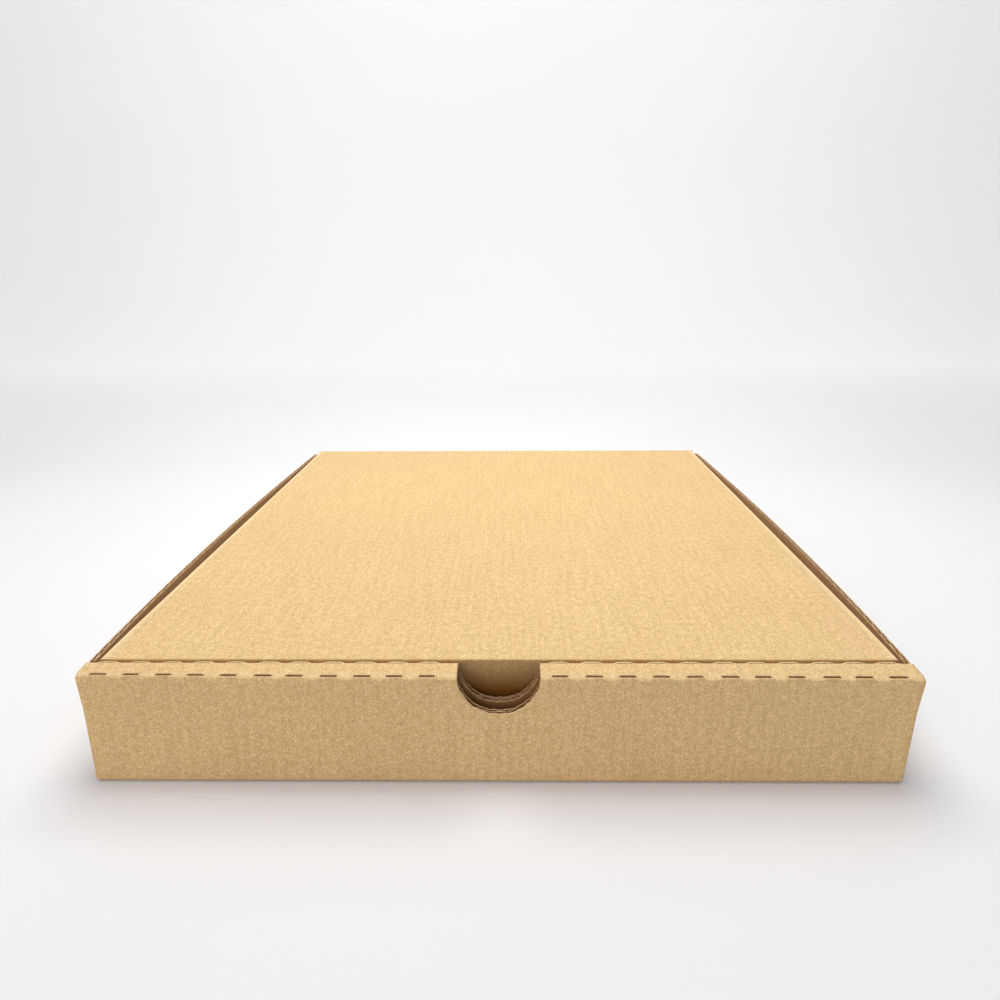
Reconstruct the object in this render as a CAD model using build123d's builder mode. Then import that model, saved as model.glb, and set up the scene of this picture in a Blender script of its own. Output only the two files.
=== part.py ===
from build123d import *
import os
from math import cos, radians, sin

# A twelve-inch pizza box, folded from one die-cut sheet of corrugated board
# and closed. The sheet is written as two parts, because the lid swings on its
# crease: the tray (base, walls, corner flaps and the rolled front wall) and
# the lid (panel, side flaps and tuck flap).
#
# Millimetres, +Z up, front wall towards -Y. The origin is the middle of the
# box's footprint, on the table.

# --- Driving dimensions --------------------------------------------------
inner_width = 305.0  # room between the side walls
inner_depth = 305.0  # room between the rolled front wall and the back wall
inner_height = 40.0  # room between the base and the closed lid
board = 3.0  # thickness of the corrugated board
crease_inside = 0.5  # inside radius of every crease
layer_gap = 0.3  # air between boards of the tray that lie together
lid_clearance = 0.3  # air between the lid and the tray round it

roll_depth = 12.0  # rolled front wall, from its front face to its rear face
lid_rise = 1.3  # the lid's top face above the tray's top edges
wall_bow = 4.4  # how far the middle of a side wall's top edge leans out

cut_length = 6.0  # one slit of the cut-and-crease rule
cut_pitch = 12.2
cut_width = 0.8
first_cut_left = 5.0  # from the left end of the front wall to its first slit
first_cut_right = 8.4  # from the right end to the last slit
notch_radius = 15.0  # half-round finger notch in both layers of the front

tab_length = 36.0  # lock tabs on the inner front wall
tab_spacing = 150.0
corner_flap_length = 60.0
corner_flap_chamfer = 6.0

flap_floor_gap = 6.5  # air under the lid's side flaps and tuck flap
lid_flap_setback = 6.5  # from the rear end of the flap's crease to the back wall
lid_flap_front_taper = 12.0
lid_flap_rear_taper = 18.0
lid_flap_corner = 8.0
tuck_lean = 8.0  # degrees that the tuck flap leans in from upright
tuck_taper = 4.0
tuck_corner = 20.0

# --- Places worked out from them -----------------------------------------
crease_middle = crease_inside + board / 2
crease_outside = crease_inside + board
half_width = inner_width / 2 + board
half_depth = (inner_depth + board + roll_depth) / 2
lid_top = inner_height + 2 * board
tray_top = lid_top - lid_rise

# Middle lines of the boards that run across the box, as Y or Z.
base_middle = board / 2
outer_front_middle = -half_depth + board / 2
inner_front_middle = -half_depth + roll_depth - board / 2
back_middle = half_depth - board / 2
strip_middle = tray_top - board / 2
inner_front_foot = board + layer_gap
roll_rear = -half_depth + roll_depth

# The hinge line lies in the middle of the lid's board, over the back wall.
hinge_y = back_middle
hinge_z = lid_top - board / 2
back_wall_top = hinge_z - board / 2 - lid_clearance

# Side walls stand on creases that start where the flat of the base ends.
base_half_width = half_width - crease_outside
corner_cut = crease_outside + layer_gap
wall_middle = half_width - board / 2
flap_middle = half_depth - board - layer_gap - board / 2
wall_half_run = flap_middle - crease_middle
front_flap_top = tray_top - board - layer_gap
flap_foot = board + layer_gap

# The lid drops in between the side walls and behind the rolled front wall.
lid_half_width = inner_width / 2 - lid_clearance
lid_flat_half_width = lid_half_width - crease_outside
lid_front = roll_rear + lid_clearance
lid_middle = lid_top - board / 2
lid_crease_y = lid_front + crease_outside
lid_crease_z = lid_top - crease_outside
lid_flap_rear = half_depth - board - lid_flap_setback
lid_flap_foot = board + flap_floor_gap
tuck_length = lid_crease_z - lid_flap_foot


def cuts_in_row(first_cut):
    """How many slits fit between one end of the front wall and the notch."""
    bridge = cut_pitch - cut_length
    room = half_width - first_cut - notch_radius + bridge
    return int(room // cut_pitch)


def cut_places():
    """X of the middle of each slit, the left row and then the right row."""
    rows = ((-1, first_cut_left), (1, first_cut_right))
    return [
        side * (half_width - first_cut - cut_length / 2 - number * cut_pitch)
        for side, first_cut in rows
        for number in range(cuts_in_row(first_cut))
    ]


# --- Tray ----------------------------------------------------------------
with BuildPart() as tray:
    # Back wall, base, outer front wall, top strip and inner front wall are
    # one run of board, seen here from the side.
    with BuildSketch(Plane.YZ):
        with BuildLine():
            FilletPolyline(
                (back_middle, back_wall_top),
                (back_middle, base_middle),
                (outer_front_middle, base_middle),
                (outer_front_middle, strip_middle),
                (inner_front_middle, strip_middle),
                (inner_front_middle, inner_front_foot),
                radius=crease_middle,
            )
        trace(line_width=board)
    extrude(amount=base_half_width, both=True)

    # The front wall, its strip and the back wall reach past the base to the
    # faces of the side walls, where their ends are cut square.
    for side in (-1, 1):
        with BuildSketch(Plane.YZ.offset(side * base_half_width)):
            with BuildLine():
                FilletPolyline(
                    (-half_depth + corner_cut, base_middle),
                    (outer_front_middle, base_middle),
                    (outer_front_middle, strip_middle),
                    (roll_rear, strip_middle),
                    radius=crease_middle,
                )
            trace(line_width=board)
            with BuildLine():
                FilletPolyline(
                    (half_depth - corner_cut, base_middle),
                    (back_middle, base_middle),
                    (back_middle, back_wall_top),
                    radius=crease_middle,
                )
            trace(line_width=board)
        extrude(amount=side * crease_outside)

    # Slits of the cut-and-crease rule, straight through both top creases.
    crease_height = tray_top - crease_outside
    for crease_y, outward in (
        (-half_depth + crease_outside, (0, -1, 1)),
        (roll_rear - crease_outside, (0, 1, 1)),
    ):
        crease = Plane(
            origin=(0, crease_y, crease_height), x_dir=(1, 0, 0), z_dir=outward
        )
        with BuildSketch(crease):
            with Locations([(x, 0) for x in cut_places()]):
                Rectangle(cut_length, cut_width)
        extrude(amount=crease_outside + board, mode=Mode.SUBTRACT)

    # Finger notch, a half round through both layers and the strip over them.
    with BuildSketch(Plane.XZ.offset(-roll_rear)):
        with Locations((0, tray_top)):
            Circle(notch_radius)
    extrude(amount=roll_depth, mode=Mode.SUBTRACT)

    # Slots in the base, and the lock tabs that stand in them.
    tab_places = [(side * tab_spacing / 2, inner_front_middle) for side in (-1, 1)]
    with BuildSketch(Plane.XY):
        with Locations(tab_places):
            Rectangle(tab_length + 2 * layer_gap, board + 2 * layer_gap)
    extrude(amount=board, mode=Mode.SUBTRACT)
    with BuildSketch(Plane.XY.offset(layer_gap)):
        with Locations(tab_places):
            Rectangle(tab_length, board)
    extrude(amount=inner_front_foot - layer_gap)

    # Side walls. Each one turns up from the base, and its free top edge bows
    # out between the corners that hold it.
    for side in (-1, 1):
        with BuildSketch(Plane.XZ):
            with BuildLine():
                run = Line(
                    (side * (base_half_width - board), base_middle),
                    (side * base_half_width, base_middle),
                )
                JernArc(run @ 1, run % 1, crease_middle, side * 90)
            trace(line_width=board)
        extrude(amount=wall_half_run, both=True)

        with BuildSketch(Plane.XY.offset(crease_outside)):
            with Locations((side * wall_middle, 0)):
                Rectangle(board, 2 * wall_half_run)
        with BuildSketch(Plane.XY.offset(tray_top)):
            with BuildLine():
                outer = ThreePointArc(
                    (side * half_width, -wall_half_run),
                    (side * (half_width + wall_bow), 0),
                    (side * half_width, wall_half_run),
                )
                inner = ThreePointArc(
                    (side * (half_width - board), -wall_half_run),
                    (side * (half_width - board + wall_bow), 0),
                    (side * (half_width - board), wall_half_run),
                )
                Line(outer @ 0, inner @ 0)
                Line(outer @ 1, inner @ 1)
            make_face()
        loft(ruled=True)

        # Its front end is cut lower, to pass under the strip.
        with BuildSketch(Plane.XY.offset(front_flap_top)):
            with Locations((side * wall_middle, -wall_half_run)):
                Rectangle(2 * board, 2 * (roll_rear + layer_gap + wall_half_run))
        extrude(amount=tray_top - front_flap_top, mode=Mode.SUBTRACT)

        # Corner flaps turn in behind the outer front wall and inside the
        # back wall.
        for end, flap_top in ((-1, front_flap_top), (1, back_wall_top)):
            with BuildSketch(Plane.XY.offset(flap_foot)):
                with BuildLine():
                    bend = JernArc(
                        (side * wall_middle, end * wall_half_run),
                        (0, end),
                        crease_middle,
                        side * end * 90,
                    )
                    Line(
                        bend @ 1,
                        (side * (wall_middle - corner_flap_length), end * flap_middle),
                    )
                trace(line_width=board)
            extrude(amount=flap_top - flap_foot)

    flap_end_x = wall_middle - corner_flap_length
    flap_corners = tray.edges().filter_by(Axis.Y).filter_by(
        lambda edge: abs(abs(edge.center().X) - flap_end_x) < layer_gap
        and abs(abs(edge.center().Y) - flap_middle) < layer_gap
    )
    chamfer(flap_corners, corner_flap_chamfer)

# --- Lid -----------------------------------------------------------------
with BuildPart() as lid:
    # Panel and front crease, one run of board seen from the side.
    with BuildSketch(Plane.YZ):
        with BuildLine():
            run = Line((hinge_y, lid_middle), (lid_crease_y, lid_middle))
            JernArc(run @ 1, run % 1, crease_middle, 90 + tuck_lean)
        trace(line_width=board)
    extrude(amount=lid_flat_half_width, both=True)

    # Rear edge, rounded about the hinge line so that it clears the back wall.
    with BuildSketch(Plane.YZ):
        with Locations((hinge_y, hinge_z)):
            Circle(board / 2)
    extrude(amount=lid_half_width, both=True)

    # Tuck flap, which leans in from the rolled front wall.
    lean = radians(tuck_lean)
    outward = Vector(0, -cos(lean), -sin(lean))
    crease_centre = Vector(0, lid_crease_y, lid_crease_z)
    tuck_face = Plane(
        origin=crease_centre + outward * crease_inside,
        x_dir=(1, 0, 0),
        z_dir=outward,
    )
    tuck_half_width = lid_flat_half_width - layer_gap
    with BuildSketch(tuck_face):
        with BuildLine():
            Polyline(
                (-tuck_half_width, 0),
                (-tuck_half_width + tuck_taper, -tuck_length),
                (tuck_half_width - tuck_taper, -tuck_length),
                (tuck_half_width, 0),
                close=True,
            )
        tuck = make_face()
        fillet(tuck.vertices().group_by(Axis.Y)[0], tuck_corner)
    extrude(amount=board)

    # Side flaps, each on a crease along the side of the panel. Behind the
    # crease the panel keeps its full width back to the hinge.
    for side in (-1, 1):
        with BuildSketch(Plane.XZ.offset(-lid_front)):
            with BuildLine():
                run = Line(
                    (side * (lid_flat_half_width - board), lid_middle),
                    (side * lid_flat_half_width, lid_middle),
                )
                JernArc(run @ 1, run % 1, crease_middle, -side * 90)
            trace(line_width=board)
        extrude(amount=lid_front - lid_flap_rear)

        with BuildSketch(Plane.YZ.offset(side * (lid_half_width - board))):
            with BuildLine():
                Polyline(
                    (lid_front, lid_crease_z),
                    (lid_front + lid_flap_front_taper, lid_flap_foot),
                    (lid_flap_rear - lid_flap_rear_taper, lid_flap_foot),
                    (lid_flap_rear, lid_crease_z),
                    close=True,
                )
            flap = make_face()
            fillet(flap.vertices().group_by(Axis.Y)[0], lid_flap_corner)
        extrude(amount=side * board)

        with BuildSketch(Plane.YZ.offset(side * lid_flat_half_width)):
            with BuildLine():
                Line((lid_flap_rear, lid_middle), (hinge_y, lid_middle))
            trace(line_width=board)
        extrude(amount=side * crease_outside)

tray.part.label = "tray"
lid.part.label = "lid"

os.makedirs("parts", exist_ok=True)
export_step(tray.part, "parts/tray.step")
export_step(lid.part, "parts/lid.step")
print("hinge line at y", hinge_y, "z", hinge_z)
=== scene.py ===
# %% [markdown]
# A corrugated pizza box, folded from one sheet of board
#
# The real box is a single die-cut sheet: two sheets of liner paper with a
# wavy sheet of fluted paper glued between them. Nothing is joined on. So the
# whole lesson is one idea: work out where the outer face of the folded sheet
# runs, and lay the three papers under it.

# %% Load the frame
import bpy
import numpy as np
from mathutils import Matrix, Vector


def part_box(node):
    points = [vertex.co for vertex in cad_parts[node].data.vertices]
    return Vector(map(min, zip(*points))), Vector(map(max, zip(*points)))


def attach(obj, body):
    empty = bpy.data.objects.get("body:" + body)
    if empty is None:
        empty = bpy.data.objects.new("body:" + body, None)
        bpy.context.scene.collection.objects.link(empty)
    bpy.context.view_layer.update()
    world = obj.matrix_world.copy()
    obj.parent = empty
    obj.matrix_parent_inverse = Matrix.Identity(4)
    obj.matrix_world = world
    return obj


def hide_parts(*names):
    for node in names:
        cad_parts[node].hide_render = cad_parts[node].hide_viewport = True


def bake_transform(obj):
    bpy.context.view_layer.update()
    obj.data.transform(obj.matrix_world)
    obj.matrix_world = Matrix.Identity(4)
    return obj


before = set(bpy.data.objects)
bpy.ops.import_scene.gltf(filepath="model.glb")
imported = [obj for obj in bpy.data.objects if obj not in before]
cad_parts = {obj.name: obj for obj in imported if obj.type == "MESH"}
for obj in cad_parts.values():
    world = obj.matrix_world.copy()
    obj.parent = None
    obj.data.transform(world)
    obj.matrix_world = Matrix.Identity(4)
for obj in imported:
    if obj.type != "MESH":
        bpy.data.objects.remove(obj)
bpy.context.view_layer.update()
tray_low, tray_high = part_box("tray")
lid_low, lid_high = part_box("lid")
mm = 0.001
print("tray from", tuple(tray_low), "to", tuple(tray_high))
print("lid from", tuple(lid_low), "to", tuple(lid_high))

# %% [markdown]
# The sizes of the board
#
# Every fold of the box follows from a few sizes. They are read from the packed
# model where it gives them, and most of the others repeat the model's own
# values. The board is 3 mm thick with a flute about every 7.6 mm. That is as
# thin as B-flute board with the wider pitch of C-flute, so it is no standard
# board: one of the two sizes, or the scale of the whole box, is a little off.

# %% Sizes in millimetres
front_y = tray_low.y / mm
back_y = tray_high.y / mm
rim_z = tray_high.z / mm
end_x = 155.5
base_x = 152.0
roll_depth = 12.0
board = 3.0
liner = 0.42
flute_paper = 0.34
flute_pitch = 7.6
flute_step = 0.72
crushed = 1.35
strip_z = 44.7
under_strip = 41.4
panel_z = 46.0
notch_radius = 15.35
notch_x = 1.0

# %% [markdown]
# From a grid of points to a sheet of paper
#
# Each paper is a grid of points on its outer side and the same grid on its
# inner side. Faces join neighbouring points, and where the sheet ends, or
# where a cell is left out for a hole or a slit, a narrow wall closes the
# edge. Blender's Solidify could give the thickness, but then the wavy paper
# and the cut edges could not have their own finish.

# %% Finish numbers
OUTSIDE, INSIDE, FLUTE, CUT = 0, 1, 2, 3


# %% Grid helpers
def unit(vectors):
    """Each vector divided by its own length."""
    length = np.linalg.norm(vectors, axis=-1, keepdims=True)
    return vectors / np.maximum(length, 1e-12)


def tangents(points, axis):
    """Mean of the directions of the two grid lines that meet at a point."""
    steps = unit(np.diff(points, axis=axis))
    first = np.take(steps, [0], axis=axis)
    last = np.take(steps, [-1], axis=axis)
    before = np.concatenate([first, steps], axis=axis)
    after = np.concatenate([steps, last], axis=axis)
    return unit(before + after)


def outward(points):
    """Unit normal: direction along the columns crossed with that of the rows."""
    return unit(np.cross(tangents(points, 1), tangents(points, 0)))


# %% Helpers for rows and columns
def lengths_along(rows):
    """Length of a section from its first row to each row, in its first two columns."""
    steps = np.linalg.norm(np.diff(rows[:, :2], axis=0), axis=1)
    return np.concatenate([[0], np.cumsum(steps)])


def sheet_places(across, along):
    """Places on the unfolded sheet: across for each column, along for each row."""
    return np.stack(np.broadcast_arrays(across[None, :], along[:, None]), -1)


def every_cell(face):
    """A table that keeps every cell of the grid."""
    return np.ones((face.shape[0] - 1, face.shape[1] - 1), bool)


def by_row(values, face):
    """One value for each row of the grid, the same in all its columns."""
    return np.broadcast_to(values[:, None], face.shape[:2])


# %% One paper as a closed shell
def shell(top, bottom, keep, flat, finish, finish_below, shade=0.0, shade_below=0.0):
    """Top faces, bottom faces turned over, and a wall at every open edge.

    top and bottom are rows x columns x 3 points, keep says which cells have
    paper, and flat holds each point's place on the unfolded sheet. shade is
    painted shade above 0, which makes the paper browner, and a painted
    highlight below 0, which makes it paler.
    """
    rows, cols = top.shape[:2]
    index = np.arange(rows * cols).reshape(rows, cols)
    a, b = index[:-1, :-1][keep], index[:-1, 1:][keep]
    c, d = index[1:, 1:][keep], index[1:, :-1][keep]
    under = rows * cols
    faces = [np.stack([a, b, c, d], 1), np.stack([d, c, b, a], 1) + under]
    marks = [np.full(len(a), finish), np.full(len(a), finish_below)]
    padded = np.pad(keep, 1)
    open_sides = [
        (padded[:-2, 1:-1], index[:-1, :-1], index[:-1, 1:]),
        (padded[1:-1, 2:], index[:-1, 1:], index[1:, 1:]),
        (padded[2:, 1:-1], index[1:, 1:], index[1:, :-1]),
        (padded[1:-1, :-2], index[1:, :-1], index[:-1, :-1]),
    ]
    for neighbour, start, end in open_sides:
        rim = keep & ~neighbour
        s, e = start[rim], end[rim]
        faces.append(np.stack([e, s, s + under, e + under], 1))
        marks.append(np.full(len(s), CUT))
    points = np.concatenate([top.reshape(-1, 3), bottom.reshape(-1, 3)])
    return {
        "points": points,
        "faces": np.concatenate(faces),
        "marks": np.concatenate(marks),
        "flat": np.tile(flat.reshape(-1, 2), (2, 1)),
        "shade": np.concatenate(
            [(s + np.zeros((rows, cols))).ravel() for s in (shade, shade_below)]
        ),
    }


# %% Three papers make the board
def papers(face, thickness, keep, flat, keep_below=None, shade=0.0, shade_in=0.0):
    """The two liners of a grid, measured in from the outer face along its normal.

    keep_below is for cells that only the inner liner lacks. shade is the
    outer liner's, and shade_in is the inner liner's.
    """
    normal = outward(face)
    t = thickness[..., None]
    below = keep if keep_below is None else keep_below
    outer = shell(face, face - normal * liner, keep, flat, OUTSIDE, FLUTE, shade, shade)
    inner = shell(
        face - normal * (t - liner),
        face - normal * t,
        below,
        flat,
        FLUTE,
        INSIDE,
        shade_in,
        shade_in,
    )
    return [outer, inner]


def fluting(face, thickness, keep, flat, along, shade=0.0):
    """The wavy paper: depth = half the board + swing x cosine(2 pi along / pitch)."""
    normal = outward(face)
    swing = (thickness - 2 * liner - flute_paper) / 2
    depth = thickness / 2 + swing * np.cos(2 * np.pi * along / flute_pitch)
    top = face - normal * (depth - flute_paper / 2)[..., None]
    bottom = face - normal * (depth + flute_paper / 2)[..., None]
    return [shell(top, bottom, keep, flat, FLUTE, FLUTE, shade, shade)]


# %% Shells become one mesh object
def make_piece(name, shells, finishes):
    """Joins the shells, drops unused points, and writes mesh, finishes and UVs."""
    counts = np.cumsum([0] + [len(s["points"]) for s in shells])
    points = np.concatenate([s["points"] for s in shells])
    flat = np.concatenate([s["flat"] for s in shells])
    faces = np.concatenate([s["faces"] + n for s, n in zip(shells, counts)])
    marks = np.concatenate([s["marks"] for s in shells])
    shade = np.concatenate([s["shade"] for s in shells])
    used, places = np.unique(faces, return_inverse=True)
    faces = places.reshape(-1, 4)
    mesh = bpy.data.meshes.new(name)
    mesh.vertices.add(len(used))
    mesh.vertices.foreach_set("co", (points[used] * mm).astype(np.float32).ravel())
    mesh.loops.add(faces.size)
    mesh.loops.foreach_set("vertex_index", faces.astype(np.int32).ravel())
    mesh.polygons.add(len(faces))
    mesh.polygons.foreach_set("loop_start", np.arange(0, faces.size, 4, dtype=np.int32))
    mesh.polygons.foreach_set("material_index", marks.astype(np.int32))
    mesh.polygons.foreach_set("use_smooth", marks != CUT)
    layer = mesh.uv_layers.new(name="Sheet")
    layer.data.foreach_set("uv", (flat[used][faces] * mm).astype(np.float32).ravel())
    tint = mesh.attributes.new("Shade", "FLOAT", "POINT")
    tint.data.foreach_set("value", shade[used].astype(np.float32))
    mesh.update(calc_edges=True)
    mesh.validate()
    for finish in finishes:
        mesh.materials.append(finish)
    piece = bpy.data.objects.new(name, mesh)
    bpy.context.scene.collection.objects.link(piece)
    print(name, len(faces), "faces,", 2 * len(faces), "triangles")
    return piece


# %% [markdown]
# The cut-and-crease rule
#
# The front wall folds over twice, so its two top creases are weakened with a
# row of slits, each about 6 mm long. Between the slits the liner rolls over
# the edge; at a slit the wall ends in a straight cut and a dark gap opens.
# The two shapes are written once as row points and mixed by column. A small
# seeded shift gives every slit its own start and length.

# %% Where the slits are
slit_length = 6.4
slit_pitch = 12.27
left_slits = -150.9 + slit_pitch * np.arange(11)
right_slits = 20.7 + slit_pitch * np.arange(11)
slit_starts = np.concatenate([left_slits, right_slits])
rng = np.random.default_rng(7)
slit_starts = slit_starts + rng.uniform(-0.35, 0.35, slit_starts.size)
slit_ends = slit_starts + slit_length + rng.uniform(-0.4, 0.3, slit_starts.size)
print("slits from", slit_starts.round(1).tolist())

# %% Columns of the front roll
near_slits = np.concatenate(
    [slit_starts + d for d in (-1.2, 0.0, 0.8)] + [slit_ends + d for d in (-0.8, 0.0, 1.2)]
)
near_notch = notch_x + np.linspace(-notch_radius - 0.9, notch_radius + 0.9, 52)
ends = np.array([-154.6, -153.4, -base_x, -93.0, -57.0])
ends = np.concatenate([[-end_x], ends, -ends, [end_x]])
front_x = np.unique(np.round(np.concatenate([near_slits, near_notch, ends]), 3))
slit_here = np.zeros(front_x.size)
for start, end in zip(slit_starts, slit_ends):
    rise = np.clip((front_x - start + 1.2) / 2.0, 0, 1)
    fall = np.clip((end + 1.2 - front_x) / 2.0, 0, 1)
    slit_here = np.maximum(slit_here, np.minimum(rise, fall))
slit_here = slit_here**2 * (3 - 2 * slit_here)
mid_x = (front_x[1:] + front_x[:-1]) / 2
slit_cell = ((mid_x > slit_starts[:, None]) & (mid_x < slit_ends[:, None])).any(0)
print(front_x.size, "columns,", int(slit_cell.sum()), "of them cut")

# %% [markdown]
# The front roll, seen from the side
#
# Rows climb the outer front wall, cross the strip and go down the inner wall.
# Each row has a place for a bridge between slits and one for a slit, and the
# thickness of the board there, because a crease is crushed flat.

# %% Rows of the front roll
# Each row: bridge y, bridge z, slit y, slit z, thickness. y and z count from
# the front face and the table.
corner_rows = [
    (2.6, 0.00, 2.6, 0.00, 2.3),
    (1.7, 0.00, 1.7, 0.00, 1.6),
    (1.0, 0.12, 1.0, 0.12, crushed),
    (0.45, 0.45, 0.45, 0.45, crushed),
    (0.12, 1.00, 0.12, 1.00, crushed),
    (0.0, 1.70, 0.0, 1.70, 1.6),
    (0.0, 4.50, 0.0, 4.50, board),
]
wall_heights = np.concatenate([[12.0, 20.0, 27.0], np.linspace(28.9, 40.6, 14)])
wall_rows = [(0.0, z, 0.0, z, board) for z in wall_heights]
top_rows = [
    (0.0, 42.4, 0.0, 42.4, 2.4),
    (0.0, 43.2, 0.0, 43.4, 1.6),
    (0.07, 43.45, 0.03, 44.0, crushed),
    (0.25, 43.62, 0.25, 44.38, 1.2),
    (1.2, 44.2, 0.55, 44.52, 1.0),
    (1.35, 44.28, 1.85, 44.68, 1.0),
    (2.4, 44.68, 2.3, strip_z, crushed),
    (3.2, strip_z, 3.0, strip_z, 1.7),
    (4.5, strip_z, 4.5, strip_z, board),
]
half_roll = roll_depth / 2
strip_rows = [(half_roll, strip_z, half_roll, strip_z, board)]
turned = [
    (roll_depth - by, bz, roll_depth - sy, sz, t) for by, bz, sy, sz, t in top_rows[::-1]
]
inner_heights = np.concatenate([np.linspace(40.6, 28.9, 14), [24.0, 12.0, 3.3, 0.4]])
inner_rows = [(roll_depth, z, roll_depth, z, board) for z in inner_heights]
roll_rows = np.array(
    corner_rows + wall_rows + top_rows + strip_rows + turned + inner_rows
)
slit_after = 4
first_slit_row = len(corner_rows) + len(wall_rows) + slit_after
second_slit_row = first_slit_row + 2 * (len(top_rows) - slit_after - 1)
print(len(roll_rows), "rows; slits after rows", first_slit_row, second_slit_row)

# %% Faces of the front roll
wall_lean = 2.2
bridge = roll_rows[:, None, 0:2]
slit = roll_rows[:, None, 2:4]
mix = slit_here[None, :, None]
section = bridge * (1 - mix) + slit * mix
roll_path = lengths_along(roll_rows)
roll_length = roll_path[-1]
row_z = roll_rows[:, 1]
row_y = roll_rows[:, 0]
print("board from the bottom crease to the lock tabs:", round(roll_length, 1), "mm")


def leaned(x, y, z):
    """The outer wall leans back towards its top: size x height share x (1 - depth share).

    It was folded by hand, so it leans back more at its left end and less at its
    right end.
    """
    size = wall_lean + 1.3 * np.clip((-x - 60) / 90, 0, 1) - 0.5 * np.clip(x / 150, 0, 1)
    return y + size * np.clip(z / rim_z, 0, 1) * (1 - np.clip(y / roll_depth, 0, 1))


def lifted(y, z):
    """The strip rises 0.75 mm from its front edge to its rear edge."""
    return z + 0.75 * np.clip((y - 2.0) / 8.0, 0, 1) * np.clip(z - 42.5, 0, 1)


def end_places(y, z):
    """How far the roll's cut ends stand from the middle.

    The front face is a touch narrower at its foot than at the strip, and its
    top corners stand out another 0.8 mm.
    """
    reach = 153.4 + 1.7 * np.clip(z / rim_z, 0, 1) + 0.7 * np.clip(y / roll_depth, 0, 1)
    return reach + 0.8 * np.clip((z - 30.0) / 13.0, 0, 1) * np.clip(1 - y / 8.0, 0, 1)


def squeeze(x, reach):
    """Moves the last few millimetres of each end in to the given reach."""
    share = np.clip((np.abs(x) - 145.0) / (end_x - 145.0), 0, 1)
    return x + np.sign(x) * share * (reach - end_x)


roll_x = squeeze(front_x[None, :], end_places(section[..., 0], section[..., 1]))
roll_face = np.stack(
    [
        roll_x,
        front_y + leaned(roll_x, section[..., 0], section[..., 1]),
        lifted(section[..., 0], section[..., 1]) + 0 * roll_x,
    ],
    -1,
)

# %% [markdown]
# The finger notch
#
# A half round is cut through both walls, and the strip between them is cut
# straight across. The cells of the grid inside the round are left out, and
# the points along the edge are moved onto the round itself, each by less
# than one cell. Slow waves of about a tenth of a millimetre, with a few small
# tears, make the edge look cut in paper. The round stands 1 mm to the right
# of the middle, as on a sheet that was cut a little off.


# %% Cutting the notch
def cut_notch(face, keep, x, z, y, radius=notch_radius):
    """Leaves out cells inside the half round and moves its edge points onto it."""
    x = x - notch_x
    centre_x = (x[:-1, :-1] + x[1:, 1:]) / 2
    centre_z = (z[:-1, :-1] + z[1:, 1:]) / 2
    inside = np.hypot(centre_x, centre_z - rim_z) < radius
    keep = keep & ~inside
    padded = np.pad(inside, 1)
    touched = padded[:-1, :-1] | padded[1:, :-1] | padded[:-1, 1:] | padded[1:, 1:]
    whole = padded[:-1, :-1] & padded[1:, :-1] & padded[:-1, 1:] & padded[1:, 1:]
    edge = touched & ~whole
    angle = np.arctan2(z - rim_z, x)
    on_wall = z < rim_z - 2.6
    ragged = radius + 0.09 * np.sin(angle * 13 + y) + 0.06 * np.sin(angle * 29 + 2 * y)
    torn = np.clip(np.sin(angle * 7 + 1.7 * y) - 0.8, 0, 1) * 1.6
    ragged = ragged - torn
    moved = face.copy()
    moved[..., 0] = np.where(
        edge & on_wall, notch_x + ragged * np.cos(angle), moved[..., 0]
    )
    moved[..., 2] = np.where(edge & on_wall, rim_z + ragged * np.sin(angle), moved[..., 2])
    straight = edge & ~on_wall
    moved[..., 0] = np.where(
        straight,
        notch_x + np.sign(x) * np.sqrt(radius**2 - np.clip(rim_z - z, 0, 3) ** 2),
        moved[..., 0],
    )
    return moved, keep


row_mid_z = (row_z[1:] + row_z[:-1]) / 2
roll_keep = every_cell(roll_face)
cut_x = roll_face[..., 0]
cut_z = roll_face[..., 2]
roll_face, roll_keep = cut_notch(roll_face, roll_keep, cut_x, cut_z, roll_face[..., 1])
for row in (first_slit_row, second_slit_row):
    roll_keep[row, slit_cell] = False

# Inner wall and bottom corner stop at the side walls; tabs pass the base.
narrow = (np.abs(mid_x) < base_x)[None, :]
inner_part = (np.arange(len(row_mid_z)) >= second_slit_row)[:, None] & (row_mid_z < 43.0)[:, None]
roll_keep &= ~inner_part | narrow
tab_half, tab_middle = 18.0, 75.0
tab_cell = (np.abs(np.abs(mid_x) - tab_middle) < tab_half)[None, :]
below_foot = inner_part & (row_mid_z < 3.2)[:, None]
roll_keep &= ~below_foot | tab_cell
roll_below = roll_keep.copy()
for row in (first_slit_row - 1, first_slit_row + 1, second_slit_row - 1, second_slit_row + 1):
    roll_below[row, slit_cell] = False
roll_thickness = by_row(roll_rows[:, 4], roll_face)
roll_flat = sheet_places(front_x, roll_path)

# Painted highlight: the fold is paler between the slits. Painted shade: the rear
# of the roll is browner, and the inner liner, deep in the roll, is browner still.
roll_fold_highlight = np.exp(-(((row_y - 1.6) / 1.1) ** 2) - ((row_z - 44.4) / 0.7) ** 2)
roll_shade = -0.35 * roll_fold_highlight[:, None] * (1 - slit_here[None, :])
roll_shade = roll_shade + 0.25 * np.clip((row_y - 11.0), 0, 1)[:, None]
tray_papers = papers(
    roll_face, roll_thickness, roll_keep, roll_flat, roll_below, roll_shade, 0.7
)
print("front roll done")

# %% [markdown]
# The flutes run across the box
#
# In the real sheet the flutes run from side to side, so the wave shows at the
# ends of the front wall and along the top edges of the side walls. Each flat
# panel gets its own wavy sheet, which stops short of the creases.


# %% Fluting of the front roll
def resample(path, values, wanted):
    """Straight-line values of each column of a table at new path lengths."""
    return np.stack([np.interp(wanted, path, column) for column in values.T], -1)


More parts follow.
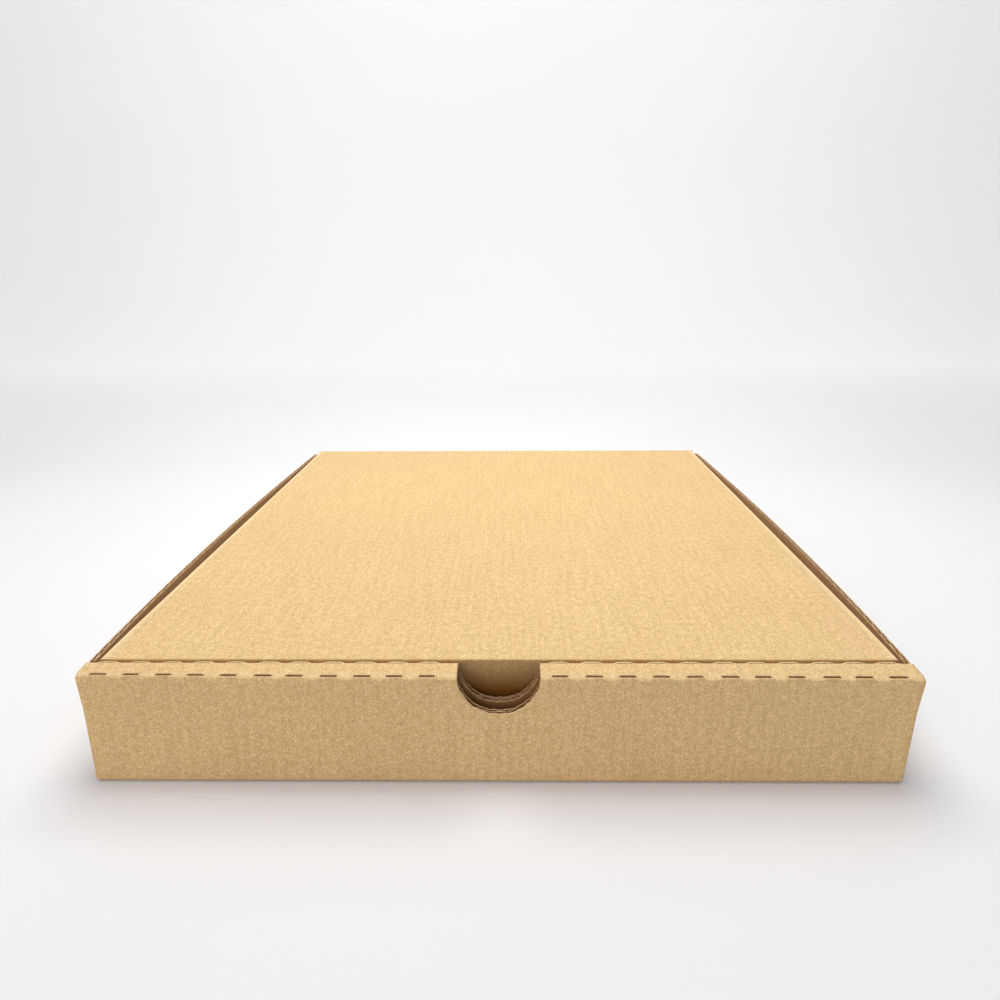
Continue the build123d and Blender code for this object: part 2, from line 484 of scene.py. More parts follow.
def roll_fluting(low, high, stop_x, cut):
    """Wavy paper for the rows whose path lies from low to high."""
    along = np.arange(low, high, flute_step)
    line = resample(roll_path, roll_rows, along)
    x = np.concatenate([[-stop_x], near_notch, [stop_x]])
    y, z = line[:, 0][:, None], line[:, 1][:, None]
    reach = end_places(y, z)
    wide = squeeze(x[None, :], reach) if stop_x > base_x else x[None, :]
    xx, yy, zz = np.broadcast_arrays(wide, front_y + leaned(wide, y, z), lifted(y, z))
    face = np.stack([xx, yy, zz], -1)
    keep = every_cell(face)
    if cut:
        face, keep = cut_notch(face, keep, xx, zz, yy + 1.7, notch_radius + 0.35)
    thick = by_row(line[:, 4], face)
    return fluting(face, thick, keep, sheet_places(x, along), by_row(along, face))


outer_top = roll_path[first_slit_row] - 1.1
strip_from = roll_path[first_slit_row + 1] + 0.9
strip_to = roll_path[second_slit_row] - 0.9
inner_from = roll_path[second_slit_row + 1] + 1.1
tray_papers += roll_fluting(roll_path[4] + 0.5, outer_top, end_x, True)
tray_papers += roll_fluting(strip_from, strip_to, end_x, True)
tray_papers += roll_fluting(inner_from, roll_path[-2], base_x, True)

# %% [markdown]
# Base and back wall
#
# The rest of the run is plain: the base behind the front crease, the bottom
# crease at the back, and the back wall up to the hinge. Two slots in the base
# take the lock tabs of the inner front wall.

# %% Rows of the base and the back wall
hinge_z = 41.6
slot_y = front_y + roll_depth - board / 2
back_rows = np.array(
    [
        (back_y, hinge_z, 1.7),
        (back_y, hinge_z - 0.9, 2.5),
        (back_y, hinge_z - 2.2, board),
        (back_y, 24.0, board),
        (back_y, 4.5, board),
        (back_y, 1.7, 1.6),
        (back_y - 0.12, 1.0, crushed),
        (back_y - 0.45, 0.45, crushed),
        (back_y - 1.0, 0.12, crushed),
        (back_y - 1.7, 0.0, 1.6),
        (back_y - 4.5, 0.0, board),
        (60.0, 0.0, board),
        (-60.0, 0.0, board),
        (slot_y + 1.9, 0.0, board),
        (slot_y - 1.9, 0.0, board),
        (front_y + 5.6, 0.0, board),
        (front_y + 2.6, 0.0, 2.3),
    ]
)
tab_edges = [tab_middle - tab_half - 0.4, tab_middle + tab_half + 0.4]
base_cols = np.array([0, 28.0, *tab_edges, 125.0, base_x, end_x])
base_cols = np.concatenate([-base_cols[:0:-1], base_cols])
base_path = lengths_along(back_rows)
print("board from the hinge to the front crease:", round(base_path[-1], 1), "mm")


# %% Base and back wall
def run_face(rows, x):
    """Every row of (y, z) carried straight across the box at the given x."""
    xx, yy, zz = np.broadcast_arrays(x[None, :], rows[:, 0][:, None], rows[:, 1][:, None])
    return np.stack([xx, yy, zz], -1)


base_face = run_face(back_rows, base_cols)
base_mid_x = (base_cols[1:] + base_cols[:-1]) / 2
base_keep = every_cell(base_face)
base_mid_y = (back_rows[1:, 0] + back_rows[:-1, 0]) / 2
outside = np.abs(base_mid_x) > base_x
flat_part = (base_mid_y < back_y - 3.6) & (base_mid_y > front_y + 1.0)
base_keep &= ~(flat_part[:, None] & outside[None, :])
slot_cell = (np.abs(base_mid_y - slot_y) < 0.1)[:, None]
slot_cell = slot_cell & (np.abs(np.abs(base_mid_x) - tab_middle) < 1.0)[None, :]
base_keep &= ~slot_cell
base_thick = by_row(back_rows[:, 2], base_face)
base_flat = sheet_places(base_cols, base_path - base_path[-1])
tray_papers += papers(base_face, base_thick, base_keep, base_flat)

# %% Fluting of the base and the back wall
for low, high, reach in (
    (1.2, base_path[4] + 2.0, end_x),
    (base_path[9] + 0.6, base_path[13] - 0.4, base_x),
    (base_path[14] + 0.4, base_path[16] - 0.4, base_x),
):
    along = np.arange(low, high, flute_step)
    line = resample(base_path, back_rows, along)
    columns = np.linspace(-reach, reach, 4)
    face = run_face(line, columns)
    thick = by_row(line[:, 2], face)
    flat = sheet_places(columns, along - base_path[-1])
    tray_papers += fluting(face, thick, every_cell(face), flat, by_row(along, face))

# %% [markdown]
# The side walls
#
# Each side wall folds up from the base and is held only at its corners, so
# its free top edge leans out in a shallow bow. The flutes stand upright in
# it, so their wave shows all along the raw top edge. The rim and the inner
# face are painted browner, because little light gets into the gap at the lid.

# %% Section and bow of a side wall
wall_bow = 4.1
wall_end = 153.2
side_rows = np.array(
    [
        (base_x - 3.0, 0.0, board),
        (base_x, 0.0, 2.8),
        (154.0, 0.03, 1.5),
        (154.7, 0.25, crushed),
        (155.25, 0.75, crushed),
        (end_x, 1.5, 1.5),
        (end_x, 4.4, board),
        (end_x, 12.0, board),
        (end_x, 20.0, board),
        (end_x, 28.0, board),
        (end_x, 36.0, board),
        (end_x, under_strip, 2.7),
        (end_x, 43.9, 2.2),
        (end_x, strip_z, 2.1),
    ]
)
side_path = lengths_along(side_rows)


def bow(y, z):
    """Lean = size x (1 - u^2)(1 - u / 4) x (height share to the power 1.15).

    u runs from -1 at the front to 1 at the back.
    """
    u = np.clip(y / wall_end, -1, 1)
    lift = np.clip((z - 1.5) / (rim_z - 1.5), 0, 1)
    return wall_bow * (1 - u**2) * (1 - 0.25 * u) * lift**1.15


def side_wall(side, y, columns):
    """Face of one side wall: rows follow y, columns climb the section."""
    yy = y[::-1][:, None] if side > 0 else y[:, None]
    x = columns[:, 0][None, :]
    z = columns[:, 1][None, :]
    xx = side * (x + bow(yy, z))
    xx, yy, zz = np.broadcast_arrays(xx, yy, z)
    return np.stack([xx, yy, zz], -1)


print("side wall section is", round(side_path[-1], 1), "mm of board")

# %% Both side walls
strip_end = -147.7
wall_y = np.unique(np.concatenate([np.linspace(-wall_end, wall_end, 40), [strip_end, 151.4]]))
flute_y = np.arange(-wall_end + 0.2, wall_end, flute_step)
for side in (-1, 1):
    for y, wavy in ((wall_y, False), (flute_y, True)):
        columns = side_rows[5:] if wavy else side_rows
        face = side_wall(side, y, columns)
        thick = np.broadcast_to(columns[:, 2][None, :], face.shape[:2])
        keep = every_cell(face)
        mid = (face[1:, :-1, 1] + face[:-1, :-1, 1]) / 2
        height = (face[:-1, 1:, 2] + face[:-1, :-1, 2]) / 2
        keep &= ~((mid < strip_end) & (height > under_strip))
        away = side_path[-len(columns):]
        flat = np.stack(
            [side * (base_x + away[None, :] + 0 * face[..., 1]), face[..., 1]], -1
        )
        rim = 0.6 * np.clip((face[..., 2] - 44.0) / 0.6, 0, 1)
        if wavy:
            tray_papers += fluting(face, thick, keep, flat, face[..., 1], 0.75)
        else:
            tray_papers += papers(face, thick, keep, flat, None, 0.7 * rim, 0.45 + 0.5 * rim)

# %% [markdown]
# The corner flaps
#
# Each side wall ends in two flaps that turn in at the corners: the front ones
# stand inside the rolled wall, the rear ones lie inside the back wall. Their
# corners are clipped.

# %% One corner flap
flap_reach = 60.0


def corner_flap(side, end, top):
    """Upright bend of a quarter turn, then the flat flap towards the middle."""
    turn = np.linspace(0, np.pi / 2, 6)
    radius = 3.2
    bend_x = end_x - radius * (1 - np.cos(turn))
    bend_y = wall_end + radius * np.sin(turn) + 0.3 * np.sin(turn)
    run = np.array([150.5, 148.0, 125.0, 100.0, 154.0 - flap_reach])
    x = np.concatenate([bend_x, run])
    y = np.concatenate([bend_y, np.full(5, bend_y[-1])])
    thick = np.concatenate([[1.6, 1.4, 1.3, 1.3, 1.4, 1.5], [2.2, 3.0, 3.0, 3.0, 3.0]])
    path = np.concatenate([[0], np.cumsum(np.hypot(np.diff(x), np.diff(y)))])
    z = np.array([3.5, 9.5, 20.0, top - 6.0, top])
    return side * x, end * y, z, thick, path


def place_flap(side, end, top, wavy):
    """Grid of the flap; its clipped corners come from lowering the last column."""
    x, y, z, thick, path = corner_flap(side, end, top)
    if wavy:
        along = np.arange(path[5] + 0.5, path[-1], flute_step)
        x, y = np.interp(along, path, x), np.interp(along, path, y)
        thick, path = np.interp(along, path, thick), along
    clip = np.clip((path - (path[-1] - 6.0)) / 6.0, 0, 1)
    low = 3.5 + 6.0 * clip
    high = top - 6.0 * clip
    share = (z - z[0]) / (z[-1] - z[0])
    height = low[:, None] + share[None, :] * (high - low)[:, None]
    yy = y[:, None] + 0 * height
    if end < 0:
        yy = leaned(side * x[:, None], 0.0, height) * np.clip(path / 9.0, 0, 1)[:, None] + yy
    face = np.stack([x[:, None] + 0 * height, yy, height], -1)
    thick = np.broadcast_to(thick[:, None], height.shape)
    flat = np.stack([side * (base_x + height), end * (wall_end + path[:, None]) + 0 * height], -1)
    if side * end > 0:
        face, thick, flat = face[::-1], thick[::-1], flat[::-1]
    if wavy:
        return fluting(face, thick, every_cell(face), flat, flat[..., 1])
    return papers(face, thick, every_cell(face), flat)


for side in (-1, 1):
    for end, top in ((-1, under_strip), (1, 42.7)):
        for wavy in (False, True):
            tray_papers += place_flap(side, end, top, wavy)
print("corner flaps done")

# %% [markdown]
# The lid
#
# The lid is the same sheet carried on over the hinge: a flat panel, a tuck
# flap along its front and a flap down each side, all folded inwards and
# tucked inside the tray. Rows run from the front to the hinge, and columns
# run across the panel and down both side flaps. The side folds carry a
# painted highlight, and the side flaps, which stand in a dark gap, painted shade.

# %% Sizes of the lid
lid_half = 152.2
lid_front = -147.7
tuck_edge = 148.7
crease_y = 155.6
flap_rear = 150.5
flap_foot = 9.5
front_part = np.array([lid_front + 0.45, lid_front + 1.1, lid_front + 2.2, -144.0, -141.5])
rear_part = np.array([140.0, 147.0, 150.5, 153.4, 154.7, crease_y])
lid_y = np.concatenate([front_part, np.linspace(-138.0, 136.0, 44), rear_part])
half_section = np.array(
    [
        (0.0, panel_z, board),
        (30.0, panel_z, board),
        (60.0, panel_z, board),
        (90.0, panel_z, board),
        (120.0, panel_z, board),
        (140.0, panel_z, board),
        (146.6, panel_z, board),
        (tuck_edge, panel_z, 2.2),
        (150.3, panel_z, 1.5),
        (151.2, 45.86, crushed),
        (151.8, 45.5, crushed),
        (152.1, 44.9, crushed),
        (lid_half, 43.9, 1.6),
        (lid_half, 41.4, board),
        (lid_half, 36.0, board),
        (lid_half, 30.0, board),
        (lid_half, 22.0, board),
        (lid_half, 15.0, board),
        (lid_half, flap_foot, board),
    ]
)
flap_column = 12
section_path = lengths_along(half_section)
print("half of the lid's section is", round(section_path[-1], 1), "mm of board")


# %% Warp and flap outline
front_sag = 0.45


def panel_warp(x, y):
    """Tenths of a millimetre of waviness, none at the edges: sines times a fade."""
    fade = np.clip(1 - (x / 146.0) ** 4, 0, 1) * np.clip(1 - (y / 146.0) ** 4, 0, 1)
    return fade * (
        0.28 * np.sin(x / 61 + 0.7) * np.sin(y / 74 + 0.4)
        - 0.22 * np.cos(x / 38 - 0.6) * np.cos(y / 52 + 1.1)
    )


def flap_share(y):
    """Share of a side flap's depth: tapered at both ends with round corners."""
    ahead = (y - lid_front - 0.4) / 12.0
    behind = (flap_rear - y) / 18.0
    share = np.clip(np.minimum(ahead, behind), 0, 1)
    return 1 - (1 - share) ** 2.2


def half_lid(side, y, part):
    """Points of one half of the lid; a flap leans in a little towards its foot.

    The last 30 mm towards the front fold sag by front_sag x share squared.
    """
    z = np.broadcast_to(part[:, 1][None, :], (len(y), len(part)))
    z = z + np.clip(43.9 - z, 0, None) * (1 - flap_share(y)[:, None])
    x = part[:, 0][None, :] - 0.012 * np.clip(43.9 - z, 0, None)
    z = z + panel_warp(x, y[:, None]) * (z > 45.9)
    z = z - front_sag * np.clip((lid_front + 30.0 - y[:, None]) / 30.0, 0, 1) ** 2
    face = np.stack([side * x, np.broadcast_to(y[:, None], z.shape), z], -1)
    return face if side > 0 else face[:, ::-1]


def lid_sheet_y(y):
    """Place on the unfolded sheet, carried on from the back wall over the hinge."""
    return -base_path[-1] - 8.0 + (y - crease_y)


# %% Panel and side flaps
lid_surface = np.concatenate(
    [half_lid(-1, lid_y, half_section)[:, :-1], half_lid(1, lid_y, half_section)], 1
)
lid_thick = np.concatenate([half_section[:0:-1, 2], half_section[:, 2]])
near_hinge = np.interp(lid_y, [150.5, 153.4, 154.7, crease_y], [board, board, 2.4, 1.7])
near_front = np.interp(lid_y, front_part[[0, 3]], [crushed, board])
lid_thick = np.minimum(lid_thick[None, :], np.minimum(near_hinge, near_front)[:, None])
signed_path = np.concatenate([-section_path[:0:-1], section_path])
lid_flat = sheet_places(signed_path, lid_sheet_y(lid_y))
lid_keep = every_cell(lid_surface)
cell_y = (lid_y[1:] + lid_y[:-1]) / 2
cell_path = np.abs(signed_path[1:] + signed_path[:-1]) / 2
in_flap = cell_path > section_path[flap_column]
lid_keep[np.ix_((cell_y > flap_rear), in_flap)] = False
# Painted highlight along the side folds, painted shade down the side flaps.
side_fold_highlight = np.exp(-(((np.abs(lid_surface[..., 0]) - 151.0) / 0.9) ** 2))
side_fold_highlight = side_fold_highlight * (lid_surface[..., 2] > 45.0)
down_flap = np.clip((45.6 - lid_surface[..., 2]) / 1.5, 0, 1)
lid_shade = 0.65 * down_flap - 0.9 * side_fold_highlight
lid_papers = papers(lid_surface, lid_thick, lid_keep, lid_flat, shade=lid_shade)
print("lid panel has", int(lid_keep.sum()), "cells")

# %% Fluting of the panel and the side flaps
flute_rows = np.arange(front_part[3], 153.2, flute_step)
part = half_section[:8]
face = np.concatenate([half_lid(-1, flute_rows, part)[:, :-1], half_lid(1, flute_rows, part)], 1)
thick = np.full(face.shape[:2], board)
thick[:, [0, -1]] = 2.2
flat = np.stack([face[..., 0], lid_sheet_y(face[..., 1])], -1)
lid_papers += fluting(face, thick, every_cell(face), flat, face[..., 1])
flap_rows = np.arange(front_part[0] + 0.2, flap_rear - 0.2, flute_step)
for side in (-1, 1):
    part = half_section[flap_column:]
    face = half_lid(side, flap_rows, part)
    thick = np.broadcast_to(part[::side, 2][None, :], face.shape[:2])
    flat = np.stack([side * (196.0 - face[..., 2]), lid_sheet_y(face[..., 1])], -1)
    lid_papers += fluting(face, thick, every_cell(face), flat, face[..., 1])

# %% [markdown]
# The tuck flap
#
# The front of the lid turns down over a crisp crease and goes in behind the
# rolled front wall. The flap leans in a few degrees, gets a little narrower
# downwards and has well-rounded lower corners. Its outer face carries painted
# shade where it stands behind the notch, and so does the whole crease.

# %% Rows of the tuck flap
lean = np.radians(8.0)
tuck_top = 43.4
tuck_depth = 33.0
tuck_corner = 20.0
turn_rows = np.array(
    [
        (lid_front + 0.06, tuck_top, 1.8),
        (lid_front, 44.2, 1.5),
        (lid_front, 45.0, crushed),
        (lid_front + 0.03, 45.5, crushed),
        (lid_front + 0.15, 45.83, crushed),
        (lid_front + 0.28, 45.95, crushed),
        (lid_front + 0.45, panel_z, crushed),
    ]
) - [0, front_sag * (1 - 0.45 / 30.0) ** 2, 0]
quarter = np.linspace(0, np.pi / 2, 8)
down = np.concatenate([tuck_depth - tuck_corner * (1 - np.cos(quarter)), [9.0, 3.6]])
flap_y = lid_front + 0.06 + down * np.sin(lean)
flap_z = tuck_top - down * np.cos(lean)
tuck_rows = np.concatenate([np.stack([flap_y, flap_z, np.full(len(down), board)], 1), turn_rows])
tuck_path = lengths_along(tuck_rows)
print("tuck flap and front crease use", round(tuck_path[-1], 1), "mm of board")


# %% Tuck flap
def tuck_reach(z):
    """Half width: narrows evenly downwards, then a quarter round.

    Above its top the flap widens by 3.3 mm into the crease.
    """
    fall = np.clip((tuck_top - z) / np.cos(lean), 0, tuck_depth)
    inset = np.clip(fall - (tuck_depth - tuck_corner), 0, tuck_corner)
    ear = 3.3 * np.clip((z - tuck_top) / 1.6, 0, 1)
    round_corner = tuck_corner - np.sqrt(tuck_corner**2 - inset**2)
    return tuck_edge - 0.4 + ear - 3.6 * fall / tuck_depth - round_corner


def tuck_face(rows, columns):
    """Columns are shares of the half width, so the outline follows the reach."""
    reach = tuck_reach(rows[:, 1])[:, None]
    sway = 0.35 * np.sin(columns * 4.1 + 0.8)[None, :]
    sway = sway * np.clip((44.0 - rows[:, 1]) / 20.0, 0, 1)[:, None]
    xx = columns[None, :] * reach
    yy = rows[:, 0][:, None] + sway
    xx, yy, zz = np.broadcast_arrays(xx, yy, rows[:, 1][:, None])
    return np.stack([xx, yy, zz], -1)


tuck_columns = np.linspace(-1, 1, 61)
face = tuck_face(tuck_rows, tuck_columns)
thick = by_row(tuck_rows[:, 2], face)
sheet_y = lid_sheet_y(front_part[0]) - tuck_path[-1] + tuck_path
flat = sheet_places(tuck_columns * tuck_edge, sheet_y)

# Painted shade: full at heights of 26 to 30 mm, gone at 14 mm and at 27 mm to
# either side of the notch's middle; even along the crease; none on the panel.
height = tuck_rows[:, 1]
behind_notch = np.clip((27.0 - np.abs(face[..., 0] - notch_x)) / 10.0, 0, 1)
below_fold = (0.48 + 0.52 * np.clip((42.0 - height) / 12.0, 0, 1))[:, None]
below_fold = below_fold * behind_notch * np.clip((height - 14.0) / 12.0, 0, 1)[:, None]
below_fold = np.maximum(below_fold, 0.45 * (height > 42.5)[:, None])
below_fold = below_fold * np.clip((panel_z - front_sag - height) / 0.1, 0, 1)[:, None]
lid_papers += papers(face, thick, every_cell(face), flat, shade=below_fold)

# The wavy paper needs fewer columns.
along = np.arange(0.0, tuck_path[len(down)], flute_step)
line = resample(tuck_path, tuck_rows, along)
face = tuck_face(line, tuck_columns[::4])
thick = by_row(line[:, 2], face)
flat = np.stack(np.broadcast_arrays(face[..., 0], (sheet_y[0] + along)[:, None]), -1)
lid_papers += fluting(face, thick, every_cell(face), flat, by_row(along, face))

# %% [markdown]
# The hinge crease
#
# Between the back wall and the lid the board is only crushed, not cut, so on
# the real box this strip bends when the lid opens. Here it is a piece of its
# own, attached to neither body, that meets the tray at its foot and the lid at
# its top. It has the two liners only, because the wavy paper between them is
# pressed flat there.

# %% Rows of the hinge crease
hinge_rows = np.array(
    [
        (crease_y, panel_z, 1.7),
        (156.6, panel_z, crushed),
        (157.5, 45.95, 1.2),
        (158.4, 45.72, 1.1),
        (159.1, 45.25, 1.1),
        (159.6, 44.6, 1.1),
        (159.88, 43.8, 1.2),
        (160.0, 42.8, crushed),
        (160.0, hinge_z, 1.7),
    ]
)
hinge_columns = np.linspace(-lid_half, lid_half, 61)
hinge_path = lengths_along(hinge_rows)
face = run_face(hinge_rows, hinge_columns)
pucker = 0.05 * np.sin(hinge_columns * 0.9) + 0.04 * np.sin(hinge_columns * 2.3 + 1)
middle = np.sin(np.linspace(0, np.pi, len(hinge_rows)))[:, None]
face = face - np.array([0, 0.5, 0.5]) * (np.abs(pucker[None, :]) * middle)[..., None]
thick = by_row(hinge_rows[:, 2], face)
flat = sheet_places(hinge_columns, lid_sheet_y(crease_y) + hinge_path)
hinge_papers = papers(face, thick, every_cell(face), flat)
print("hinge crease uses", round(hinge_path[-1], 1), "mm of board")

# %% [markdown]
# Kraft paper
#
# Kraft liner is unbleached wood pulp: light brown, matte, with long fibres
# lying mostly along the sheet, cloudy patches, and a few dark and pale
# specks. Everything is drawn in the flat sheet's own coordinates, so the
# pattern runs on over every fold as it does on real paper. The Shade that the
# pieces carry, painted shade and painted highlights, is laid over it: it
# doesn't depend on the lamps, so it stays where it is when the lid opens.


# %% Node helpers
def new_paper(name):
    """An empty material with its node tree and a matte shader."""
    finish = bpy.data.materials.new(name)
    finish.use_nodes = True
    tree = finish.node_tree
    shader = tree.nodes["Principled BSDF"]
    shader.inputs["Specular IOR Level"].default_value = 0.22
    return finish, tree, shader


def add(tree, kind, **values):
    """A node of the given kind with its properties set."""
    node = tree.nodes.new(kind)
    for key, value in values.items():
        setattr(node, key, value)
    return node


def grain(tree, place, stretch, scale, detail, shift=0.0, turn=0.0):
    """Noise of the sheet coordinates, stretched so that its blobs become fibres."""
    mapping = add(tree, "ShaderNodeMapping")
    mapping.inputs["Scale"].default_value = (stretch[0], stretch[1], 1)
    mapping.inputs["Location"].default_value = (shift, shift * 0.7, shift)
    mapping.inputs["Rotation"].default_value = (0, 0, turn)
    noise = add(tree, "ShaderNodeTexNoise")
    noise.inputs["Scale"].default_value = scale
    noise.inputs["Detail"].default_value = detail
    noise.inputs["Roughness"].default_value = 0.6
    tree.links.new(place, mapping.inputs["Vector"])
    tree.links.new(mapping.outputs["Vector"], noise.inputs["Vector"])
    return noise.outputs["Fac"]


def ramp(tree, factor, low, high, start=0.0, end=1.0):
    """Factor between low and high mapped to start..end, and held outside."""
    node = add(tree, "ShaderNodeMapRange", clamp=True)
    for key, value in zip(("From Min", "From Max", "To Min", "To Max"), (low, high, start, end)):
        node.inputs[key].default_value = value
    tree.links.new(factor, node.inputs["Value"])
    return node.outputs["Result"]


def layer(tree, below, colour, factor, mode="MIX"):
    """Lays a colour over the one below by the factor."""
    mix = add(tree, "ShaderNodeMix", data_type="RGBA", blend_type=mode)
    tree.links.new(factor, mix.inputs["Factor"])
    if isinstance(below, tuple):
        mix.inputs["A"].default_value = (*below, 1)
    else:
        tree.links.new(below, mix.inputs["A"])
    if isinstance(colour, tuple):
        mix.inputs["B"].default_value = (*colour, 1)
    else:
        tree.links.new(colour, mix.inputs["B"])
    return mix.outputs["Result"]


# %% Kraft liner
def kraft(name, light, dark, pale, speck, rough, shift, relief, reach=1.0):
    """Clouds, streaks, fibres and specks over a light kraft, with a fine relief.

    Above 0, the Shade attribute mixes in the deep brown of painted shade, up to
    reach. Below 0, it mixes in the pale tone of a painted highlight.
    """
    deep = (0.190, 0.068, 0.003)
    finish, tree, shader = new_paper(name)
    place = add(tree, "ShaderNodeUVMap", uv_map="Sheet").outputs["UV"]
    clouds = grain(tree, place, (1, 1), 26, 3, shift)
    blush = grain(tree, place, (1, 1), 11, 2, shift + 41)
    streaks = grain(tree, place, (520, 26), 1, 3, shift + 3)
    fibres = grain(tree, place, (0.8, 1), 1350, 3, shift + 5, 0.12)
    cross = grain(tree, place, (1, 0.6), 1700, 2, shift + 9, -0.2)
    mottle = grain(tree, place, (1, 0.8), 430, 3, shift + 11)
    rosy = (light[0], light[1] * 0.93, light[2] * 0.98)
    colour = layer(tree, light, rosy, ramp(tree, blush, 0.35, 0.65, 0.0, 1.0))
    colour = layer(tree, colour, dark, ramp(tree, clouds, 0.3, 0.72, 0.0, 0.26))
    colour = layer(tree, colour, dark, ramp(tree, streaks, 0.42, 0.64, 0.0, 0.5))
    colour = layer(tree, colour, dark, ramp(tree, fibres, 0.44, 0.66, 0.0, 0.9))
    colour = layer(tree, colour, pale, ramp(tree, cross, 0.46, 0.66, 0.0, 0.8))
    colour = layer(tree, colour, dark, ramp(tree, mottle, 0.42, 0.64, 0.0, 0.48))
    dark_specks = grain(tree, place, (0.7, 1), 620, 2, shift + 17, 0.5)
    pale_specks = grain(tree, place, (1, 0.7), 900, 2, shift + 23, 1.1)
    colour = layer(tree, colour, speck, ramp(tree, dark_specks, 0.69, 0.76, 0.0, 0.6))
    colour = layer(tree, colour, pale, ramp(tree, pale_specks, 0.68, 0.76, 0.0, 0.5))
    # The Shade attribute: painted shade above 0, a painted highlight below 0.
    shade = add(tree, "ShaderNodeAttribute", attribute_name="Shade").outputs["Fac"]
    colour = layer(tree, colour, deep, ramp(tree, shade, 0.0, 1.0, 0.0, reach))
    colour = layer(tree, colour, pale, ramp(tree, shade, 0.0, -1.0, 0.0, 1.0))
    tree.links.new(colour, shader.inputs["Base Color"])
    shader.inputs["Roughness"].default_value = rough
    height = add(tree, "ShaderNodeMath", operation="ADD")
    tree.links.new(fibres, height.inputs[0])
    tree.links.new(cross, height.inputs[1])
    bump = add(tree, "ShaderNodeBump")
    bump.inputs["Strength"].default_value = relief
    bump.inputs["Distance"].default_value = 0.0002
    tree.links.new(height.outputs["Value"], bump.inputs["Height"])
    tree.links.new(bump.outputs["Normal"], shader.inputs["Normal"])
    print(name, "has", len(tree.nodes), "nodes")
    return finish


outside_paper = kraft(
    "kraft_liner_outside",
    light=(0.730, 0.530, 0.248),
    dark=(0.500, 0.325, 0.130),
    pale=(0.830, 0.640, 0.375),
    speck=(0.230, 0.120, 0.045),
    rough=0.82,
    shift=0.0,
    relief=0.2,
)
inside_paper = kraft(
    "kraft_liner_inside",
    light=(0.540, 0.345, 0.180),
    dark=(0.380, 0.225, 0.105),
    pale=(0.640, 0.450, 0.260),
    speck=(0.200, 0.105, 0.045),
    rough=0.88,
    shift=31.0,
    relief=0.45,
)
# The wavy paper and the liner faces towards it are much darker than the liners: partly the
# paper's own brown, partly painted shade, so that the flute channels and the slits look deep.
flute_finish = kraft(
    "fluted_paper",
    light=(0.330, 0.195, 0.090),
    dark=(0.220, 0.120, 0.050),
    pale=(0.430, 0.280, 0.145),
    speck=(0.160, 0.085, 0.040),
    rough=0.9,
    shift=57.0,
    relief=0.6,
)
cut_finish = kraft(
    "cut_edge",
    light=(0.700, 0.510, 0.300),
    dark=(0.480, 0.310, 0.160),
    pale=(0.850, 0.690, 0.470),
    speck=(0.260, 0.150, 0.070),
    rough=0.95,
    shift=83.0,
    relief=0.8,
    reach=0.35,
)
finishes = [outside_paper, inside_paper, flute_finish, cut_finish]

# %% [markdown]
# Pieces on the frame
#
# The tray's sheet and the lid's sheet each stand for one body of the frame.
# The hinge crease lies between the two, attached to neither, with its place baked into its
# points.

# %% Make the three pieces
tray_sheet = make_piece("tray_sheet", tray_papers, finishes)
lid_sheet = make_piece("lid_sheet", lid_papers, finishes)
hinge_crease = make_piece("hinge_crease", hinge_papers, finishes)
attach(tray_sheet, "tray")
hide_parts("tray")
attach(lid_sheet, "lid")
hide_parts("lid")
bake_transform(hinge_crease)

# %% [markdown]
# The studio
#
# A pale floor that curves up into a wall far behind the box. The wall glows a
# little, so that it stays even. A small lamp hangs low over the box, which
# makes the lid the brightest face and fades towards its sides. A warmer lamp
# stands farther off, in front on the left, and lights the front wall, and one
# more washes the backdrop. The dim sky is a touch blue, against the brown
# light that the board throws on the floor.

# %% Table and wall
sweep_x = np.linspace(-8.0, 8.0, 13)
sweep_turn = np.linspace(0, np.pi / 2, 17)
sweep_y = np.concatenate([[-8.0, -1.0, 0.0], 1.0 + 0.5 * np.sin(sweep_turn), [1.5, 1.5]])
sweep_z = np.concatenate([[0.0, 0.0, 0.0], 0.5 * (1 - np.cos(sweep_turn)), [1.6, 3.0]]) - 0.0003
sweep = np.stack(
    np.broadcast_arrays(sweep_x[None, :], sweep_y[:, None], sweep_z[:, None]), -1
).reshape(-1, 3)
corner = (np.arange(len(sweep_y) - 1)[:, None] * 13 + np.arange(12)[None, :]).ravel()
quads = np.stack([corner, corner + 1, corner + 14, corner + 13], 1)
table_mesh = bpy.data.meshes.new("table")
table_mesh.from_pydata(sweep.tolist(), [], quads.tolist())
table_mesh.polygons.foreach_set("use_smooth", np.ones(len(quads), bool))
table = bpy.data.objects.new("table", table_mesh)
bpy.context.scene.collection.objects.link(table)
table_paint, tree, shader = new_paper("table_paint")
place = add(tree, "ShaderNodeTexCoord").outputs["Object"]
cloud = grain(tree, place, (1, 1), 3, 2)
tone = layer(tree, (0.76, 0.765, 0.775), (0.735, 0.74, 0.75), ramp(tree, cloud, 0.3, 0.7, 0, 0.5))
tree.links.new(tone, shader.inputs["Base Color"])
parts = add(tree, "ShaderNodeSeparateXYZ")
tree.links.new(place, parts.inputs["Vector"])
glow = ramp(tree, parts.outputs["Y"], 0.3, 1.0, 0.0, 0.22)
tree.links.new(glow, shader.inputs["Emission Strength"])
shader.inputs["Emission Color"].default_value = (1.0, 0.99, 0.97, 1)
shader.inputs["Roughness"].default_value = 0.9
table_mesh.materials.append(table_paint)
print("table and wall have", len(quads), "faces")

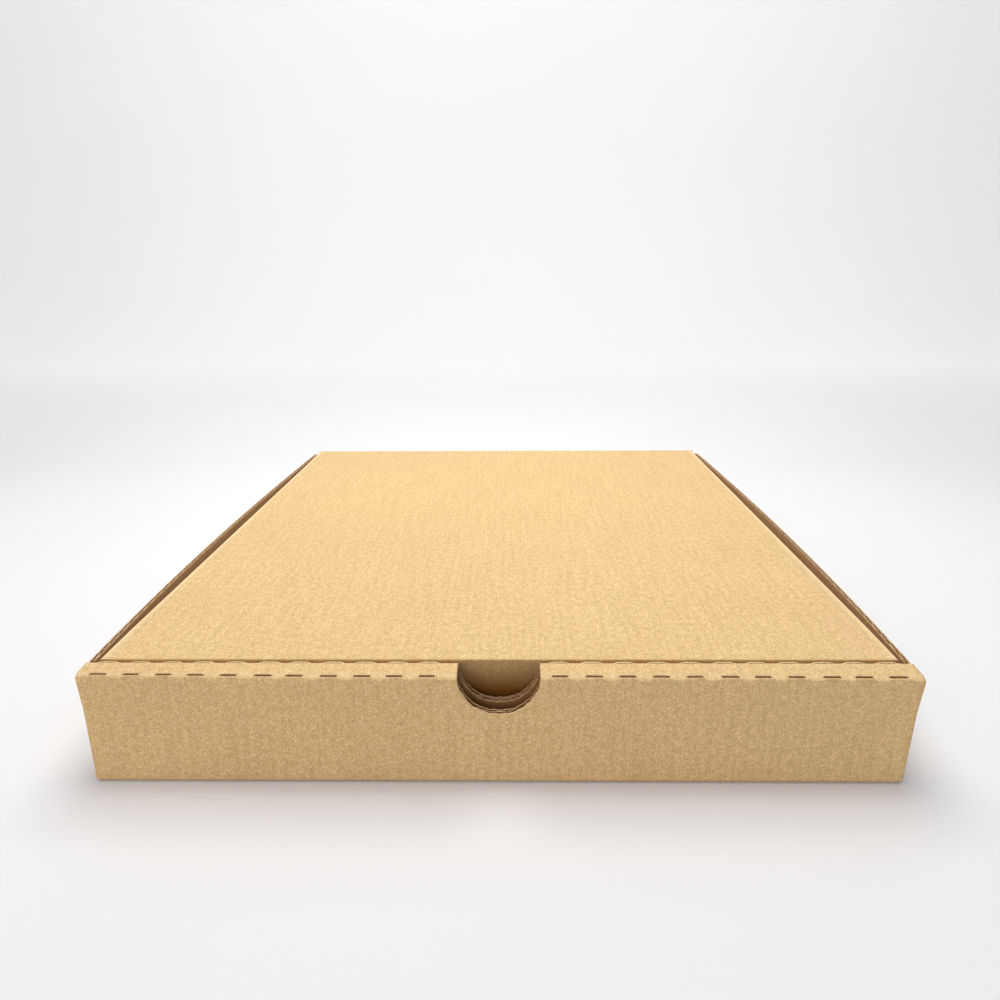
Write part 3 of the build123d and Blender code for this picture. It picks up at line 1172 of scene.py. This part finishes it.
# %% Lights
scene = bpy.context.scene
scene.view_settings.view_transform = "Standard"
world = bpy.data.worlds.new("soft_room")
scene.world = world
world.use_nodes = True
world.node_tree.nodes["Background"].inputs["Color"].default_value = (0.96, 0.985, 1.04, 1)
world.node_tree.nodes["Background"].inputs["Strength"].default_value = 0.42


def set_place(thing, across, up, away, place):
    """Turns an object by its three unit directions and stands it at place."""
    matrix = Matrix.Identity(4)
    for column, vector in enumerate((across, up, away, place)):
        for row in range(3):
            matrix[row][column] = float(vector[row])
    thing.matrix_world = matrix


def soft_light(name, place, aim, size, power, colour):
    """A square area light at place, turned so that it shines at aim."""
    data = bpy.data.lights.new(name, "AREA")
    data.size = size
    data.energy = power
    data.color = colour
    light = bpy.data.objects.new(name, data)
    away = unit(np.array(place) - np.array(aim))
    across = unit(np.cross([0.0, 1.0, 0.0], away))
    set_place(light, across, np.cross(away, across), away, place)
    scene.collection.objects.link(light)
    print(name, power, "W")


soft_light("overhead", (-0.02, 0.10, 0.60), (-0.02, 0.05, 0), 0.36, 2.25, (0.985, 0.99, 0.96))
soft_light("front_fill", (-0.7, -1.55, 0.75), (0, 0, 0.02), 1.3, 10.6, (1.0, 0.845, 0.79))
soft_light("wall_wash", (0.0, 0.1, 1.9), (0, 1.5, 1.0), 1.2, 17.0, (1.0, 1.0, 1.0))

# %% Camera
tilt, turn, roll = np.radians([16.892, -0.714, -0.349])
ahead = np.array([np.sin(turn) * np.cos(tilt), np.cos(turn) * np.cos(tilt), -np.sin(tilt)])
level = np.array([np.cos(turn), -np.sin(turn), 0.0])
upright = np.cross(level, ahead)
right = level * np.cos(roll) + upright * np.sin(roll)
top = upright * np.cos(roll) - level * np.sin(roll)
camera_data = bpy.data.cameras.new("camera")
camera_data.sensor_width = 36.0
camera_data.lens = 23.9
camera_data.shift_x = -0.0057
camera_data.shift_y = -0.0267
camera_data.clip_start = 0.01
camera = bpy.data.objects.new("camera", camera_data)
set_place(camera, right, top, -ahead, (0.0067, -0.36794, 0.18636))
scene.collection.objects.link(camera)
scene.camera = camera
print("lens", round(camera_data.lens, 2), "mm")
